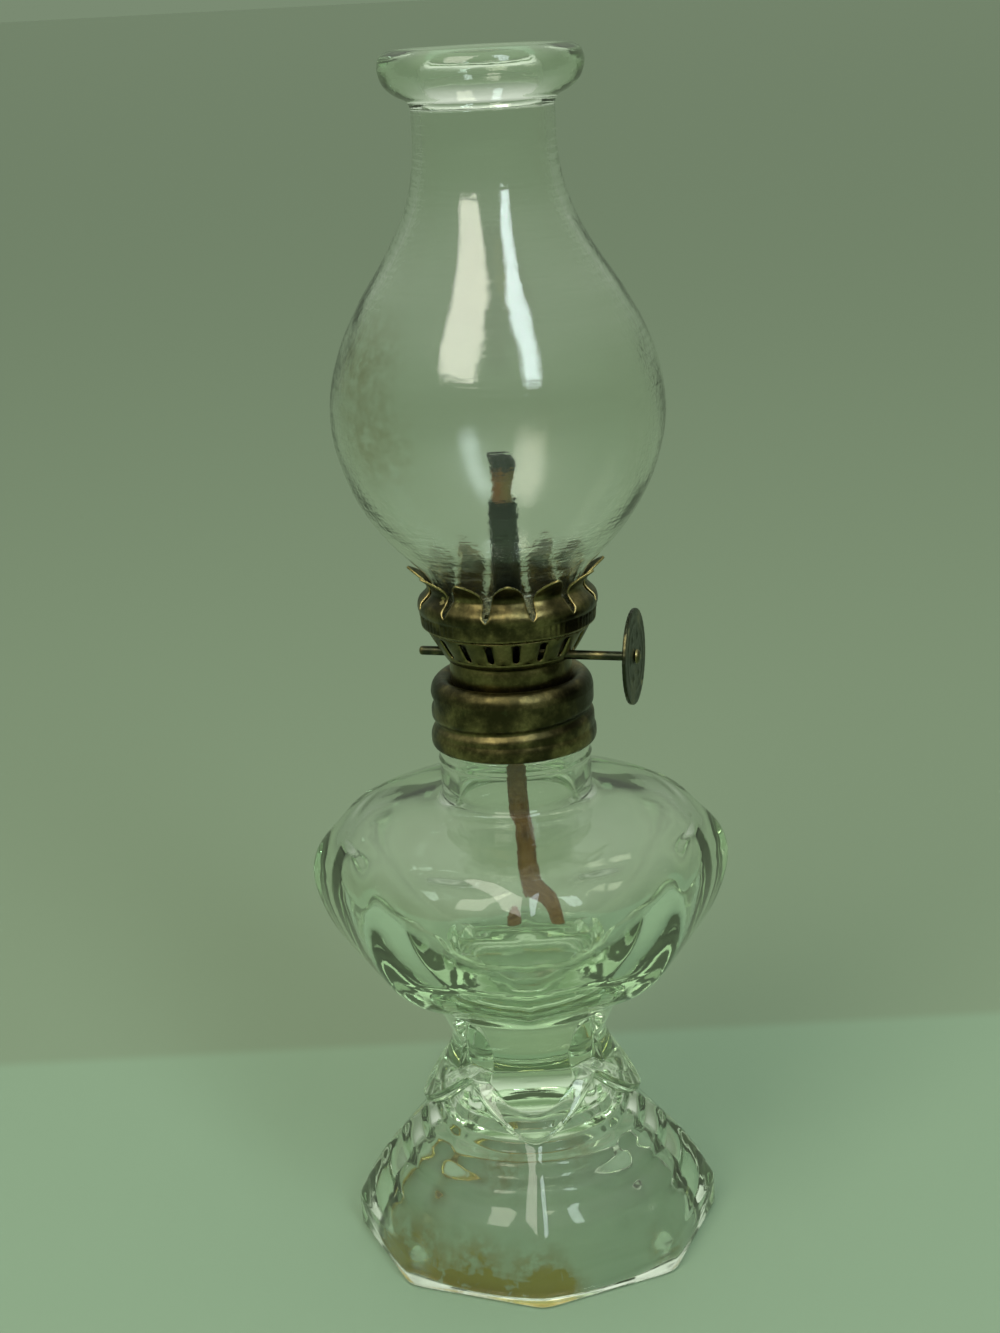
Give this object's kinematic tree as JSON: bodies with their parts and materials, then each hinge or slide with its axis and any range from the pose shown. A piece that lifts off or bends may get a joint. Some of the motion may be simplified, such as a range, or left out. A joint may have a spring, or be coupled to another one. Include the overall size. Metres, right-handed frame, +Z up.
{
  "type": "oil lamp",
  "caption": "Small clear-glass oil lamp with an octagonal foot and font, a screw-on brass burner with thumbwheel and wick, and a bulb chimney.",
  "frame": {"origin": "centre of the foot's ground face, on the lamp's axis", "axes": "+Z up the axis, a corner of the foot at -Y, the thumbwheel towards +X and a little towards -Y"},
  "size_m": [0.0738, 0.0738, 0.2103],
  "materials": {
    "clear_glass": "clear pressed and blown glass, faint green",
    "dark_brass": "tarnished, dull olive brown",
    "dark_steel": "sooted",
    "seal": "matt",
    "wick_cotton": "knit cotton, stained, charred tip"
  },
  "bodies": {
    "font": {"font_foot": "clear_glass", "font_pedestal": "clear_glass", "font_bowl": "clear_glass", "font_neck": "clear_glass"},
    "seal": {"cap_seal": "seal"},
    "burner": {"screw_cap": "dark_brass", "burner_collar": "dark_brass", "basket": "dark_brass", "gallery_crown": "dark_brass", "air_plate": "dark_brass", "wick_tube": "dark_steel", "wheel_housing": "dark_steel"},
    "winder": {"winder_shaft": "dark_brass", "winder_rivet": "dark_brass", "feed_wheels": "dark_brass", "thumbwheel": "dark_brass"},
    "wick": {"wick": "wick_cotton"},
    "chimney": {"chimney": "clear_glass"}
  },
  "joints": [
    {"name": "cap_lift", "type": "slide", "parent": "font", "child": "seal", "axis": [0, 0, 1], "range_m": [0, 0.008]},
    {"name": "cap_turn", "type": "hinge", "parent": "seal", "child": "burner", "pos_m": [0, 0, 0.099], "axis": [0, 0, 1], "range_deg": [0, 720]},
    {"name": "winder_turn", "type": "hinge", "parent": "burner", "child": "winder", "pos_m": [-0.00101, -0.00354, 0.1101], "axis": [0.9613, -0.2756, 0], "range_deg": [-66, 132]},
    {"name": "wick_feed", "type": "slide", "parent": "burner", "child": "wick", "axis": [0, 0, 1], "range_m": [-0.003, 0.00605]},
    {"name": "chimney_lift", "type": "slide", "parent": "burner", "child": "chimney", "axis": [0, 0, 1], "range_m": [0, 0.045]}
  ],
  "couplings": [
    {"joint": "cap_turn", "follows": "cap_lift", "rad_per_m": 1570.8},
    {"joint": "winder_turn", "follows": "wick_feed", "rad_per_m": 380.23}
  ]
}
